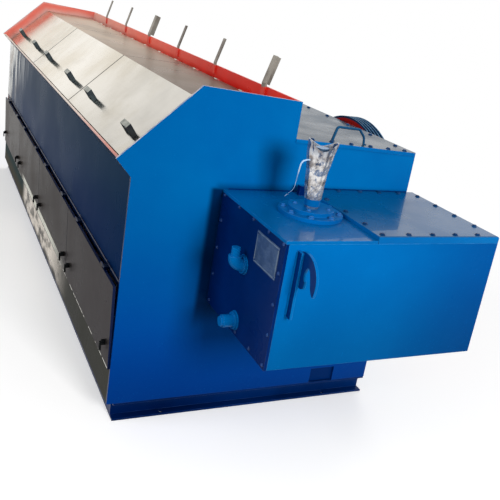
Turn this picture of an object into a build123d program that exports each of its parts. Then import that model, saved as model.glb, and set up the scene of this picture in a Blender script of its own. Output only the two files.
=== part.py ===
from build123d import *
import os
from math import atan2, cos, radians, sin, tan

# Wet wire drawing machine: a long tank with three folded hood lids, four flap doors below it,
# a closed gear case behind it and an exit gearbox with an upright shaft on its near end.
# X runs across the machine, Y along it, Z up. The origin is the middle of the base on the floor.
# The operator stands at -X, the exit end is at -Y.

# Base frame
base_length = 3900.0
base_width = 1270.0
base_height = 85.0
channel_flange = 45.0
channel_web = 7.0
channel_flange_thickness = 9.0
cross_member_count = 3
anchor_hole_radius = 9.0
anchor_inset = 220.0

# End plates and tank section
plate_thickness = 12.0
wall_overhang = 30.0
tank_width = 665.0
sheet_thickness = 4.0
ledge_height = 655.0
flare_start_height = 1080.0
flare_out = 63.0
flare_rise = 69.0
roof_run = 305.0
roof_rise = 301.0
roof_fall = 23.0
rim_strip_width = 16.0
back_wall_thickness = 10.0
tank_floor_thickness = 8.0
tank_floor_drop = 15.0
drain_notch_width = 130.0
drain_notch_height = 75.0
drain_notch_place = 380.0

# Gear case behind the tank
gear_case_width = 627.0
gear_case_drop = 153.0
gear_case_fall = 25.0
cover_thickness = 17.0
cover_overhang = 4.0
cover_corner = 14.0
hoop_radius = 6.5
hoop_place = 286.0
hoop_inset = 50.0
hoop_lean = 25.0
hoop_bend = 18.0
hoop_corners = [(-50.0, 62.0), (66.0, 58.0), (96.0, 25.0)]
hoop_feet = (-88.0, 86.0)

# Hood lids
lid_count = 3
lid_sheet = 3.0
lid_gap = 6.0
lid_return = 20.0
lid_edge_inset = 65.0
lid_edge_drop = 36.0
lid_slope_run = 271.0
hinge_offset = 35.0
hinge_height_below_wall = 61.0
hinge_seat = 6.0
knuckle_radius = 9.0
pin_radius = 4.0
pin_clearance = 0.3
hinges_per_lid = 4
knuckle_length = 40.0
knuckle_gap = 1.0
handle_length = 98.0
handle_width = 26.0
handle_height = 57.0
handle_bar = 8.0
handle_lean = 9.0
handle_spread = 0.29
handle_place = 95.0

# Bars that the opened lids lean on
rest_bar_rise = 125.0
rest_bar_lean = 16.0
rest_bar_width = 25.0
rest_bar_thickness = 8.0
rest_bar_seat = 45.0
rest_bar_bend = 14.0
angle_bar_leg = 40.0
angle_bar_thickness = 5.0
rest_bar_count = 6
rest_bar_start = 0.09
rest_bar_spacing = 0.1564

# Lower doors on the operator side
door_count = 4
door_sheet = 3.0
door_bottom_height = 246.0
door_top_drop = 18.0
door_top_proud = 20.0
door_bottom_proud = 8.0
door_return = 12.0
door_gap = 6.0
door_knuckle_radius = 6.0
door_pin_radius = 3.0
door_hinge_length = 60.0
door_hinge_inset = 200.0
door_hinge_gap = 1.0
post_width = 60.0
post_depth = 40.0
ledge_recess = 6.0
kick_gap = 6.0
latch_inset = 75.0
latch_height = 88.0
latch_radius = 13.0
latch_length = 14.0
lever_length = 44.0
lever_width = 12.0
lever_thickness = 8.0

# Drawing capstans and die holders in the tank
capstan_count = 8
capstan_end_gap = 398.0
capstan_clearance = 76.0
capstan_lip = 17.0
capstan_width = 110.0
capstan_flange = 12.0
capstan_axis_height = 880.0
capstan_standoff = 60.0
capstan_shaft_radius = 30.0
shaft_nose = 24.0
die_box_length = 70.0
die_box_width = 90.0
die_box_height = 60.0
die_arm_radius = 14.0

# Drive pulley
pulley_radius = 450.0
pulley_place = 636.0
pulley_axis_height = 826.0
pulley_standoff = 38.0
groove_count = 4
groove_pitch = 19.0
groove_depth = 15.0
groove_top = 15.0
groove_bottom = 7.0
pulley_edge = 2.0
rim_thickness = 28.0
pulley_web = 20.0
web_inset = 10.0
web_hole_count = 5
web_hole_radius = 70.0
web_hole_circle = 245.0
pulley_hub_radius = 105.0
input_shaft_radius = 45.0
bearing_boss_radius = 120.0
bearing_boss_length = 26.0
shaft_clearance = 0.5

# Exit gearbox
exit_depth = 577.0
exit_left = 281.0
exit_right = 676.0
exit_bottom = 550.0
exit_top = 1047.0
exit_cover = 12.0
exit_seam_gap = 2.0
raised_cover_rise = 16.0
raised_cover_round = 8.0
shaft_place = 35.0
flange_radius = 126.0
flange_to_seam = 3.0
flange_height = 15.0
boss_radius = 90.0
boss_height = 15.0
output_shaft_radius = 26.0
output_shaft_rise = 262.0
wrap_gap = 6.0
wrap_sheet = 2.0
wrap_foot_radius = 31.0
wrap_waist_radius = 36.0
wrap_mouth_radius = 62.0
wrap_waist_height = 150.0
wrap_height = 258.0
wrap_dip = 229.0
lug_place = 85.0
lug_inset = 48.0
lug_width = 28.0
lug_depth = 22.0
lug_height = 42.0

# Fittings on the exit gearbox
nameplate_length = 182.0
nameplate_height = 122.0
nameplate_thickness = 1.5
nameplate_near_gap = 36.0
nameplate_drop = 40.0
pipe_radius = 25.0
collar_radius = 34.0
collar_length = 12.0
elbow_height = 840.0
elbow_reach = 42.0
elbow_rise = 37.0
elbow_bend = 30.0
nipple_radius = 17.0
nipple_length = 34.0
stub_height = 605.0
stub_length = 55.0
plug_radius = 20.0
plug_length = 9.0
hook_left = 233.0
hook_top = 1014.0
hook_bar_length = 249.0
hook_bar_depth = 30.0
hook_plate = 10.0
hook_arch = [(0.0, -6.0), (44.0, 8.0), (100.0, -8.0), (131.0, -48.0), (134.0, -97.0), (128.0, -120.0)]
hook_throat = [(128.0, -120.0), (108.0, -102.0), (93.0, -62.0), (72.0, -36.0), (58.0, -50.0), (64.0, -92.0)]
hook_tooth = [(64.0, -92.0), (60.0, -118.0), (44.0, -125.0), (0.0, -125.0), (0.0, -6.0)]

# Places worked out from the sizes above
half_length = base_length / 2
half_width = base_width / 2
front_x = -half_width - wall_overhang
back_x = front_x + tank_width
rim_x = front_x - flare_out
rim_z = flare_start_height + flare_rise
ridge_x = rim_x + roof_run
ridge_z = rim_z + roof_rise
wall_back_x = back_x + back_wall_thickness
back_top_z = ridge_z - roof_fall
case_right_x = wall_back_x + gear_case_width
case_wall_z = back_top_z - gear_case_drop
case_slope = gear_case_fall / gear_case_width
inner_half = half_length - plate_thickness
floor_z = ledge_height - tank_floor_drop
door_top_height = floor_z - door_top_drop

os.makedirs("parts", exist_ok=True)


def save(piece, name):
    """Label a finished piece and write it to its own file."""
    piece.part.label = name
    export_step(piece.part, "parts/" + name + ".step")


def sheet_outline(points, thickness):
    """Corners of a folded sheet: the given line and its mitred parallel on the right-hand side."""
    shifted = []
    for index, (x, z) in enumerate(points):
        before = points[max(index - 1, 0)]
        after = points[min(index + 1, len(points) - 1)]
        first = atan2(z - before[1], x - before[0]) if index > 0 else None
        second = atan2(after[1] - z, after[0] - x) if index < len(points) - 1 else None
        first = second if first is None else first
        second = first if second is None else second
        middle = (first + second) / 2
        reach = thickness / cos((second - first) / 2)
        shifted.append((x + reach * sin(middle), z - reach * cos(middle)))
    return points + shifted[::-1]


def across(y):
    """Vertical plane across the machine at y, whose sketches extrude towards the far end."""
    return Plane(origin=(0, y, 0), x_dir=(1, 0, 0), z_dir=(0, -1, 0))


def cover_top(x):
    """Height of the gear case cover's top face, which falls away from the tank."""
    return case_wall_z - (x - wall_back_x) * case_slope


# Base frame: four channels with cross members between the long ones
with BuildPart() as base_frame:
    for side in (-1, 1):
        with BuildSketch(across(-half_length)):
            with Locations((side * (half_width - channel_flange / 2), base_height / 2)):
                Rectangle(channel_flange, base_height)
            with Locations((side * (half_width - channel_web - channel_flange / 2), base_height / 2)):
                Rectangle(channel_flange, base_height - 2 * channel_flange_thickness, mode=Mode.SUBTRACT)
        extrude(amount=-base_length)
    for end in (-1, 1):
        with Locations((0, end * (half_length - channel_flange / 2), base_height / 2)):
            Box(base_width, channel_flange, base_height)
        with Locations((0, end * (half_length + channel_web - channel_flange / 2), base_height / 2)):
            Box(
                base_width,
                channel_flange,
                base_height - 2 * channel_flange_thickness,
                mode=Mode.SUBTRACT,
            )
    member_pitch = base_length / (cross_member_count + 1)
    with GridLocations(0, member_pitch, 1, cross_member_count):
        with Locations((0, 0, base_height / 2)):
            Box(base_width - 2 * channel_web, channel_flange, base_height)
    anchor_spacing = base_width - 2 * anchor_inset
    anchor_y = half_length - (channel_flange - channel_web) / 2
    with GridLocations(anchor_spacing, 2 * anchor_y, 2, 2):
        with Locations((0, 0, channel_flange_thickness / 2)):
            Cylinder(anchor_hole_radius, 2 * channel_flange_thickness, mode=Mode.SUBTRACT)
save(base_frame, "base_frame")

# End plates: the tank's roof outline with the gear case's lower shoulder beside it
end_outline = [
    (front_x, base_height),
    (front_x, flare_start_height),
    (rim_x, rim_z),
    (ridge_x, ridge_z),
    (wall_back_x, back_top_z),
    (wall_back_x, case_wall_z - cover_thickness),
    (case_right_x, case_wall_z - gear_case_fall - cover_thickness),
    (case_right_x, base_height),
]
with BuildPart() as near_end_plate:
    with BuildSketch(across(-half_length)):
        Polygon(*end_outline, align=None)
        with Locations((drain_notch_place, base_height)):
            Rectangle(
                drain_notch_width,
                drain_notch_height,
                align=(Align.CENTER, Align.MIN),
                mode=Mode.SUBTRACT,
            )
    extrude(amount=-plate_thickness)
save(near_end_plate, "near_end_plate")

with BuildPart() as far_end_plate:
    with BuildSketch(across(inner_half)):
        Polygon(*end_outline, align=None)
    extrude(amount=-plate_thickness)
save(far_end_plate, "far_end_plate")

# Tank front wall with its flared top, and the flat strip along the rim
with BuildPart() as tank_front_wall:
    wall_line = [(front_x, ledge_height), (front_x, flare_start_height), (rim_x, rim_z)]
    with BuildSketch(across(-inner_half)):
        Polygon(*sheet_outline(wall_line, sheet_thickness), align=None)
    extrude(amount=-2 * inner_half)
save(tank_front_wall, "tank_front_wall")

flare_angle = atan2(flare_rise, flare_out)
with BuildPart() as rim_strip:
    strip_foot = sheet_thickness / sin(flare_angle)
    strip_line = [
        (rim_x + strip_foot, rim_z),
        (rim_x + strip_foot + rim_strip_width, rim_z),
        (rim_x + strip_foot + rim_strip_width, rim_z - rim_strip_width * tan(flare_angle)),
    ]
    with BuildSketch(across(-inner_half)):
        Polygon(*strip_line, align=None)
    extrude(amount=-2 * inner_half)
save(rim_strip, "rim_strip")

with BuildPart() as tank_floor:
    with Locations((front_x, 0, floor_z)):
        Box(
            tank_width,
            2 * inner_half,
            tank_floor_thickness,
            align=(Align.MIN, Align.CENTER, Align.MIN),
        )
save(tank_floor, "tank_floor")

with BuildPart() as tank_back_wall:
    with Locations((back_x, 0, base_height)):
        Box(
            back_wall_thickness,
            2 * inner_half,
            back_top_z - base_height,
            align=(Align.MIN, Align.CENTER, Align.MIN),
        )
save(tank_back_wall, "tank_back_wall")

# Gear case: closed housing with the bearing boss of its input shaft, and a bolted cover
pulley_y = -half_length + pulley_place
boss_face = Plane(origin=(case_right_x, pulley_y, pulley_axis_height), x_dir=(0, 1, 0), z_dir=(1, 0, 0))
case_outline = [
    (wall_back_x, base_height),
    (wall_back_x, cover_top(wall_back_x) - cover_thickness),
    (case_right_x, cover_top(case_right_x) - cover_thickness),
    (case_right_x, base_height),
]
with BuildPart() as gear_case:
    with BuildSketch(across(-inner_half)):
        Polygon(*case_outline, align=None)
    extrude(amount=-2 * inner_half)
    with BuildSketch(boss_face):
        Circle(bearing_boss_radius)
        Circle(input_shaft_radius + shaft_clearance, mode=Mode.SUBTRACT)
    extrude(amount=bearing_boss_length)
save(gear_case, "gear_case")

cover_right_x = case_right_x + cover_overhang
cover_outline = [
    (wall_back_x, cover_top(wall_back_x) - cover_thickness),
    (wall_back_x, cover_top(wall_back_x)),
    (cover_right_x, cover_top(cover_right_x)),
    (cover_right_x, cover_top(cover_right_x) - cover_thickness),
]
with BuildPart() as gear_case_cover:
    with BuildSketch(across(-half_length - cover_overhang)):
        Polygon(*cover_outline, align=None)
    extrude(amount=-base_length - 2 * cover_overhang)
    outer_corners = gear_case_cover.edges().filter_by(Axis.Z).group_by(Axis.X)[-1]
    fillet(outer_corners, cover_corner)
save(gear_case_cover, "gear_case_cover")

# Bent round bar on the cover, its top leaning towards the far end
hoop_x = wall_back_x + hoop_place
hoop_y = -half_length + hoop_inset
hoop_foot = cover_top(hoop_x + hoop_feet[1]) - 2 * hoop_radius
hoop_line = [(hoop_x + hoop_feet[0], hoop_y, hoop_foot)]
hoop_line += [(hoop_x + x, hoop_y + hoop_lean, cover_top(hoop_x) + rise) for x, rise in hoop_corners]
hoop_line += [(hoop_x + hoop_feet[1], hoop_y, hoop_foot)]
with BuildPart() as gear_case_hoop:
    with BuildLine():
        FilletPolyline(*hoop_line, radius=hoop_bend)
    with BuildSketch(Plane(origin=hoop_line[0])):
        Circle(hoop_radius)
    sweep()
    cover_face = Plane(
        origin=(hoop_x, hoop_y, cover_top(hoop_x)),
        x_dir=(0, 1, 0),
        z_dir=(case_slope, 0, 1),
    )
    split(bisect_by=cover_face, keep=Keep.TOP)
save(gear_case_hoop, "gear_case_hoop")

# Hood lids: one folded sheet each, with turned ends and the hinge knuckles at the back
lid_length = (2 * inner_half - (lid_count + 1) * lid_gap) / lid_count
lid_edge = (rim_x + lid_edge_inset, rim_z - lid_edge_drop)
roof_angle = atan2(roof_rise, roof_run)
fold = (lid_edge[0] + lid_slope_run, lid_edge[1] + lid_slope_run * tan(roof_angle))
hinge_x = back_x - hinge_offset
hinge_z = back_top_z - hinge_height_below_wall
lid_line = [lid_edge, fold, (hinge_x, hinge_z + hinge_seat)]
hinge_pitch = lid_length / hinges_per_lid


def lid_middle(index):
    """Y of the middle of a lid, counted from the near end."""
    return -inner_half + lid_gap + lid_length / 2 + index * (lid_length + lid_gap)


def hinge_places(index):
    """Y of each hinge of a lid."""
    first = lid_middle(index) - lid_length / 2 + hinge_pitch / 2
    return [first + step * hinge_pitch for step in range(hinges_per_lid)]


def make_lid(index):
    """One hood lid with the moving half of its hinges."""
    start = lid_middle(index) - lid_length / 2
    with BuildPart() as lid:
        with BuildSketch(across(start)):
            Polygon(*sheet_outline(lid_line, lid_sheet), align=None)
        extrude(amount=-lid_length)
        for end in (start, start + lid_length - lid_sheet):
            with BuildSketch(across(end)):
                Polygon(*sheet_outline(lid_line, lid_return), align=None)
            extrude(amount=-lid_sheet)
        for place in hinge_places(index):
            with BuildSketch(across(place + knuckle_gap / 2)):
                with Locations((hinge_x, hinge_z)):
                    Circle(knuckle_radius)
            extrude(amount=-knuckle_length)
        for place in hinge_places(index):
            with BuildSketch(across(place - knuckle_length)):
                with Locations((hinge_x, hinge_z)):
                    Circle(pin_radius + pin_clearance)
            extrude(amount=-2 * knuckle_length - knuckle_gap, mode=Mode.SUBTRACT)
            with BuildSketch(across(place + knuckle_gap / 2)):
                with Locations((hinge_x, hinge_z)):
                    Circle(knuckle_radius + knuckle_gap)
            extrude(amount=knuckle_length + 2 * knuckle_gap, mode=Mode.SUBTRACT)
    return lid


def make_lid_handles(index):
    """Two bridge handles on the sloping front of a lid, standing a little steeper than the sheet."""
    slope = Plane(
        origin=(
            lid_edge[0] + handle_place * cos(roof_angle),
            0,
            lid_edge[1] + handle_place * sin(roof_angle),
        ),
        x_dir=(0, 1, 0),
        z_dir=(-sin(roof_angle), 0, cos(roof_angle)),
    )
    stance = roof_angle - radians(handle_lean)
    upwards = (-sin(stance), 0, cos(stance))
    with BuildPart() as handles:
        for side in (-1, 1):
            spot = lid_middle(index) + side * handle_spread * lid_length
            with BuildSketch(slope):
                with Locations((spot, 0)):
                    Rectangle(handle_length, handle_width)
            extrude(amount=handle_height, dir=upwards)
            with BuildSketch(slope):
                with Locations((spot, 0)):
                    Rectangle(handle_length - 2 * handle_bar, handle_width)
            extrude(amount=handle_height - handle_bar, dir=upwards, mode=Mode.SUBTRACT)
    return handles


for index in range(lid_count):
    save(make_lid(index), f"lid_{index + 1}")
    save(make_lid_handles(index), f"lid_handles_{index + 1}")

# Fixed half of the lid hinges: leaf from the back wall, knuckle and pin
with BuildPart() as lid_hinge_brackets:
    for index in range(lid_count):
        for place in hinge_places(index):
            with BuildSketch(across(place - knuckle_gap / 2 - knuckle_length)):
                with Locations((hinge_x, hinge_z)):
                    Circle(knuckle_radius)
                with Locations((hinge_x, hinge_z - knuckle_radius)):
                    Rectangle(hinge_offset, hinge_seat, align=(Align.MIN, Align.MIN))
            extrude(amount=-knuckle_length)
            with BuildSketch(across(place - knuckle_gap / 2)):
                with Locations((hinge_x, hinge_z)):
                    Circle(pin_radius)
            extrude(amount=-knuckle_length)
save(lid_hinge_brackets, "lid_hinge_brackets")

# Bars on the back wall that the opened lids lean on: flat bars, and two of angle iron
with BuildPart() as lid_rest_bars:
    bar_foot = back_top_z - rest_bar_seat
    for index in range(rest_bar_count):
        bar_y = -half_length + (rest_bar_start + index * rest_bar_spacing) * base_length
        is_angle = index % 3 == 0
        width = angle_bar_leg if is_angle else rest_bar_width
        bar_line = [
            (back_x - rest_bar_thickness, bar_foot),
            (back_x - rest_bar_thickness, back_top_z + rest_bar_bend),
            (
                back_x - rest_bar_thickness + rest_bar_rise * tan(radians(rest_bar_lean)),
                back_top_z + rest_bar_bend + rest_bar_rise,
            ),
        ]
        with BuildSketch(across(bar_y - width / 2)):
            Polygon(*sheet_outline(bar_line, rest_bar_thickness), align=None)
        extrude(amount=-width)
        if is_angle:
            with BuildSketch(across(bar_y + width / 2 - angle_bar_thickness)):
                Polygon(*sheet_outline(bar_line[1:], angle_bar_leg), align=None)
            extrude(amount=-angle_bar_thickness)
save(lid_rest_bars, "lid_rest_bars")

# Ledge and posts that frame the lower doors
ledge_face = front_x + ledge_recess
door_pitch = 2 * inner_half / door_count
kick_top = door_bottom_height - kick_gap
with BuildPart() as door_frame:
    with Locations((ledge_face, 0, floor_z)):
        Box(
            post_depth,
            2 * inner_half,
            door_top_drop + kick_gap,
            align=(Align.MIN, Align.CENTER, Align.MAX),
        )
    for index in range(door_count + 1):
        post_y = -inner_half + index * door_pitch
        low = max(post_y - post_width / 2, -inner_half)
        high = min(post_y + post_width / 2, inner_half)
        with Locations((ledge_face, low, base_height)):
            Box(
                post_depth,
                high - low,
                floor_z - base_height,
                align=(Align.MIN, Align.MIN, Align.MIN),
            )
save(door_frame, "door_frame")

with BuildPart() as kick_panel:
    with Locations((front_x, 0, base_height)):
        Box(
            ledge_recess,
            2 * inner_half,
            kick_top - base_height,
            align=(Align.MIN, Align.CENTER, Align.MIN),
        )
save(kick_panel, "kick_panel")

# Lower doors: shallow pans hung from their top edge, with turn latches near the bottom corners
door_length = door_pitch - door_gap
door_line = [
    (front_x - door_bottom_proud + door_return, door_bottom_height),
    (front_x - door_bottom_proud, door_bottom_height),
    (front_x - door_top_proud, door_top_height),
    (front_x - door_top_proud + door_return, door_top_height),
]
door_hinge_x = front_x - door_top_proud + door_knuckle_radius
door_hinge_z = door_top_height + door_knuckle_radius + door_hinge_gap


def door_middle(index):
    """Y of the middle of a lower door, counted from the near end."""
    return -inner_half + (index + 0.5) * door_pitch


def make_door(index):
    """One lower door with the moving half of its hinges."""
    start = door_middle(index) - door_length / 2
    with BuildPart() as door:
        with BuildSketch(across(start)):
            Polygon(*sheet_outline(door_line, door_sheet), align=None)
        extrude(amount=-door_length)
        for end in (start, start + door_length - door_sheet):
            with BuildSketch(across(end)):
                Polygon(*door_line, align=None)
            extrude(amount=-door_sheet)
        for side in (-1, 1):
            middle = door_middle(index) + side * (door_length / 2 - door_hinge_inset)
            with BuildSketch(across(middle + knuckle_gap / 2)):
                with Locations((door_hinge_x, door_hinge_z)):
                    Circle(door_knuckle_radius)
                    Rectangle(
                        2 * door_knuckle_radius,
                        door_hinge_z - door_top_height + door_sheet / 2,
                        align=(Align.CENTER, Align.MAX),
                    )
            extrude(amount=-door_hinge_length / 2)
            with BuildSketch(across(middle)):
                with Locations((door_hinge_x, door_hinge_z)):
                    Circle(door_pin_radius + pin_clearance)
            extrude(amount=-door_hinge_length, mode=Mode.SUBTRACT)
    return door


def make_door_latches(index):
    """Two turn latches, each a round boss with a hanging lever."""
    lean = atan2(door_top_proud - door_bottom_proud, door_top_height - door_bottom_height)
    face_x = front_x - door_bottom_proud - latch_height * tan(lean)
    with BuildPart() as latches:
        for side in (-1, 1):
            spot = door_middle(index) + side * (door_length / 2 - latch_inset)
            face = Plane(
                origin=(face_x, spot, door_bottom_height + latch_height),
                x_dir=(0, 1, 0),
                z_dir=(-cos(lean), 0, -sin(lean)),
            )
            with BuildSketch(face):
                Circle(latch_radius)
            extrude(amount=latch_length)
            with BuildSketch(face.offset(latch_length)):
                with Locations((0, (lever_length - lever_width) / 2)):
                    SlotOverall(lever_length, lever_width, rotation=90)
            extrude(amount=lever_thickness)
    return latches


for index in range(door_count):
    save(make_door(index), f"lower_door_{index + 1}")
    save(make_door_latches(index), f"door_latches_{index + 1}")

with BuildPart() as door_hinge_brackets:
    for index in range(door_count):
        for side in (-1, 1):
            middle = door_middle(index) + side * (door_length / 2 - door_hinge_inset)
            with BuildSketch(across(middle - knuckle_gap / 2 - door_hinge_length / 2)):
                with Locations((door_hinge_x, door_hinge_z)):
                    Circle(door_knuckle_radius)
                    Rectangle(
                        ledge_face - door_hinge_x,
                        2 * door_knuckle_radius,
                        align=(Align.MIN, Align.CENTER),
                    )
            extrude(amount=-door_hinge_length / 2)
            with BuildSketch(across(middle - knuckle_gap / 2)):
                with Locations((door_hinge_x, door_hinge_z)):
                    Circle(door_pin_radius)
            extrude(amount=-door_hinge_length / 2)
save(door_hinge_brackets, "door_hinge_brackets")

# Capstans on their shafts, with a die holder between each two
capstan_pitch = 2 * (inner_half - capstan_end_gap) / (capstan_count - 1)
capstan_flange_radius = (capstan_pitch - capstan_clearance) / 2
capstan_radius = capstan_flange_radius - capstan_lip
capstan_places = [
    -inner_half + capstan_end_gap + step * capstan_pitch for step in range(capstan_count)
]


def along_x(x, y, z):
    """Plane facing the operator side, for round parts with their axis across the machine."""
    return Plane(origin=(x, y, z), x_dir=(0, -1, 0), z_dir=(-1, 0, 0))


with BuildPart() as capstans:
    for place in capstan_places:
        with BuildSketch(along_x(back_x, place, capstan_axis_height)):
            Circle(capstan_shaft_radius)
        extrude(amount=capstan_standoff + capstan_width + shaft_nose)
        with BuildSketch(along_x(back_x - capstan_standoff, place, capstan_axis_height)):
            Circle(capstan_flange_radius)
        extrude(amount=capstan_flange)
        with BuildSketch(along_x(back_x - capstan_standoff - capstan_flange, place, capstan_axis_height)):
            Circle(capstan_radius)
        extrude(amount=capstan_width - capstan_flange)
save(capstans, "capstans")

with BuildPart() as die_holders:
    die_x = back_x - capstan_standoff - capstan_flange - (capstan_width - capstan_flange) / 2
    die_z = capstan_axis_height + capstan_radius
    for place in capstan_places[:-1]:
        middle = place + capstan_pitch / 2
        with Locations((die_x, middle, die_z)):
            Box(die_box_width, die_box_length, die_box_height)
        with BuildSketch(along_x(back_x, middle, die_z)):
            Circle(die_arm_radius)
        extrude(amount=back_x - die_x)
save(die_holders, "die_holders")

# Drive pulley: grooved rim, pierced web with hub, on the input shaft of the gear case
pulley_width = groove_count * groove_pitch + 2 * pulley_edge
pulley_inner_x = case_right_x + pulley_standoff
pulley_outer_x = pulley_inner_x + pulley_width
rim_inner_radius = pulley_radius - rim_thickness
pulley_axis = Axis((0, pulley_y, pulley_axis_height), (1, 0, 0))
rim_outline = [(pulley_inner_x, rim_inner_radius), (pulley_inner_x, pulley_radius)]
for groove in range(groove_count):
    groove_x = pulley_inner_x + pulley_edge + (groove + 0.5) * groove_pitch
    rim_outline += [
        (groove_x - groove_top / 2, pulley_radius),
        (groove_x - groove_bottom / 2, pulley_radius - groove_depth),
        (groove_x + groove_bottom / 2, pulley_radius - groove_depth),
        (groove_x + groove_top / 2, pulley_radius),
    ]
rim_outline += [(pulley_outer_x, pulley_radius), (pulley_outer_x, rim_inner_radius)]

with BuildPart() as drive_pulley_rim:
    with BuildSketch(Plane(origin=(0, pulley_y, pulley_axis_height), x_dir=(1, 0, 0), z_dir=(0, -1, 0))):
        Polygon(*rim_outline, align=None)
    revolve(axis=pulley_axis)
save(drive_pulley_rim, "drive_pulley_rim")

with BuildPart() as drive_pulley_web:
    web_face = Plane(
        origin=(pulley_inner_x + web_inset, pulley_y, pulley_axis_height),
        x_dir=(0, 1, 0),
        z_dir=(1, 0, 0),
    )
    with BuildSketch(web_face):
        Circle(rim_inner_radius)
        with PolarLocations(web_hole_circle, web_hole_count):
            Circle(web_hole_radius, mode=Mode.SUBTRACT)
    extrude(amount=pulley_web)
    with BuildSketch(web_face.offset(-web_inset)):
        Circle(pulley_hub_radius)
    extrude(amount=pulley_width)
    with BuildSketch(web_face.offset(-web_inset)):
        Circle(input_shaft_radius)
    extrude(amount=pulley_width, mode=Mode.SUBTRACT)
save(drive_pulley_web, "drive_pulley_web")

with BuildPart() as input_shaft:
    with BuildSketch(boss_face.offset(shaft_clearance)):
        Circle(input_shaft_radius)
    extrude(amount=pulley_outer_x - case_right_x - shaft_clearance)
save(input_shaft, "input_shaft")

# Exit gearbox: housing, side cover, a left top cover with a small lug and a thicker right one
exit_back_y = -half_length
exit_front_y = exit_back_y - exit_depth
exit_mid_y = (exit_back_y + exit_front_y) / 2
housing_left = -exit_left + exit_cover
housing_top = exit_top - exit_cover
shaft_x = -shaft_place
exit_seam_x = shaft_x + flange_radius + flange_to_seam
with BuildPart() as exit_gearbox:
    with Locations((housing_left, exit_back_y, exit_bottom)):
        Box(
            exit_right - housing_left,
            exit_depth,
            housing_top - exit_bottom,
            align=(Align.MIN, Align.MAX, Align.MIN),
        )
save(exit_gearbox, "exit_gearbox")

with BuildPart() as exit_side_cover:
    with Locations((housing_left, exit_back_y, exit_bottom)):
        Box(
            exit_cover,
            exit_depth,
            housing_top - exit_bottom,
            align=(Align.MAX, Align.MAX, Align.MIN),
        )
save(exit_side_cover, "exit_side_cover")

bore_radius = output_shaft_radius + shaft_clearance
with BuildPart() as exit_top_cover_left:
    with Locations((-exit_left, exit_back_y, housing_top)):
        Box(
            exit_left + exit_seam_x - exit_seam_gap / 2,
            exit_depth,
            exit_cover,
            align=(Align.MIN, Align.MAX, Align.MIN),
        )
    with Locations((shaft_x, exit_mid_y, exit_top)):
        Cylinder(bore_radius, 2 * exit_cover, mode=Mode.SUBTRACT)
    with Locations((shaft_x + lug_place, exit_back_y - lug_inset, exit_top)):
        Box(lug_width, lug_depth, lug_height, align=(Align.CENTER, Align.CENTER, Align.MIN))
save(exit_top_cover_left, "exit_top_cover_left")

with BuildPart() as exit_top_cover_right:
    with Locations((exit_seam_x + exit_seam_gap / 2, exit_back_y, housing_top)):
        Box(
            exit_right - exit_seam_x - exit_seam_gap / 2,
            exit_depth,
            exit_cover + raised_cover_rise,
            align=(Align.MIN, Align.MAX, Align.MIN),
        )
    upper_edges = exit_top_cover_right.edges().group_by(Axis.Z)[-1]
    fillet([upper_edges.sort_by(Axis.Y)[0], upper_edges.sort_by(Axis.X)[-1]], raised_cover_round)
save(exit_top_cover_right, "exit_top_cover_right")

# Two-step bearing flange, the upright shaft in it and the wrapping round the shaft
with BuildPart() as shaft_flange:
    with BuildSketch(Plane.XY.offset(exit_top)):
        with Locations((shaft_x, exit_mid_y)):
            Circle(flange_radius)
    extrude(amount=flange_height)
    with BuildSketch(Plane.XY.offset(exit_top + flange_height)):
        with Locations((shaft_x, exit_mid_y)):
            Circle(boss_radius)
    extrude(amount=boss_height)
    with BuildSketch(Plane.XY.offset(exit_top)):
        with Locations((shaft_x, exit_mid_y)):
            Circle(bore_radius)
    extrude(amount=flange_height + boss_height, mode=Mode.SUBTRACT)
save(shaft_flange, "shaft_flange")

with BuildPart() as output_shaft:
    with BuildSketch(Plane.XY.offset(housing_top + shaft_clearance)):
        with Locations((shaft_x, exit_mid_y)):
            Circle(output_shaft_radius)
    extrude(amount=exit_cover + output_shaft_rise)
save(output_shaft, "output_shaft")

wrap_z = exit_top + flange_height + boss_height + wrap_gap
with BuildPart() as shaft_wrap:
    with BuildSketch(Plane(origin=(shaft_x, exit_mid_y, wrap_z), x_dir=(1, 0, 0), z_dir=(0, -1, 0))):
        with BuildLine():
            foot = (wrap_foot_radius, 0)
            waist = (wrap_waist_radius, wrap_waist_height)
            mouth = (wrap_mouth_radius, wrap_height)
            Line((output_shaft_radius, 0), foot)
            Spline(foot, waist, mouth)
            Line(mouth, (wrap_mouth_radius - wrap_sheet, wrap_height))
            Line(
                (wrap_mouth_radius - wrap_sheet, wrap_height),
                (output_shaft_radius, wrap_dip),
            )
            Line((output_shaft_radius, wrap_dip), (output_shaft_radius, 0))
        make_face()
    revolve(axis=Axis((shaft_x, exit_mid_y, wrap_z), (0, 0, 1)))
save(shaft_wrap, "shaft_wrap")

# Plain nameplate on the side cover
with BuildPart() as nameplate:
    with Locations(
        (-exit_left, exit_front_y + nameplate_near_gap + nameplate_length / 2, exit_top - nameplate_drop)
    ):
        Box(
            nameplate_thickness,
            nameplate_length,
            nameplate_height,
            align=(Align.MAX, Align.CENTER, Align.MAX),
        )
save(nameplate, "nameplate")

# Pipe elbow that turns up into a thinner nipple, and pipe stub with a plug below it, both closed
elbow_x = -exit_left - elbow_reach
with BuildPart() as pipe_elbow:
    with BuildLine():
        FilletPolyline(
            (-exit_left, exit_mid_y, elbow_height),
            (elbow_x, exit_mid_y, elbow_height),
            (elbow_x, exit_mid_y, elbow_height + elbow_rise),
            radius=elbow_bend,
        )
    with BuildSketch(along_x(-exit_left, exit_mid_y, elbow_height)):
        Circle(pipe_radius)
    sweep()
    with BuildSketch(along_x(-exit_left, exit_mid_y, elbow_height)):
        Circle(collar_radius)
    extrude(amount=collar_length)
    with BuildSketch(Plane.XY.offset(elbow_height + elbow_rise)):
        with Locations((elbow_x, exit_mid_y)):
            Circle(nipple_radius)
    extrude(amount=nipple_length)
save(pipe_elbow, "pipe_elbow")

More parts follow.
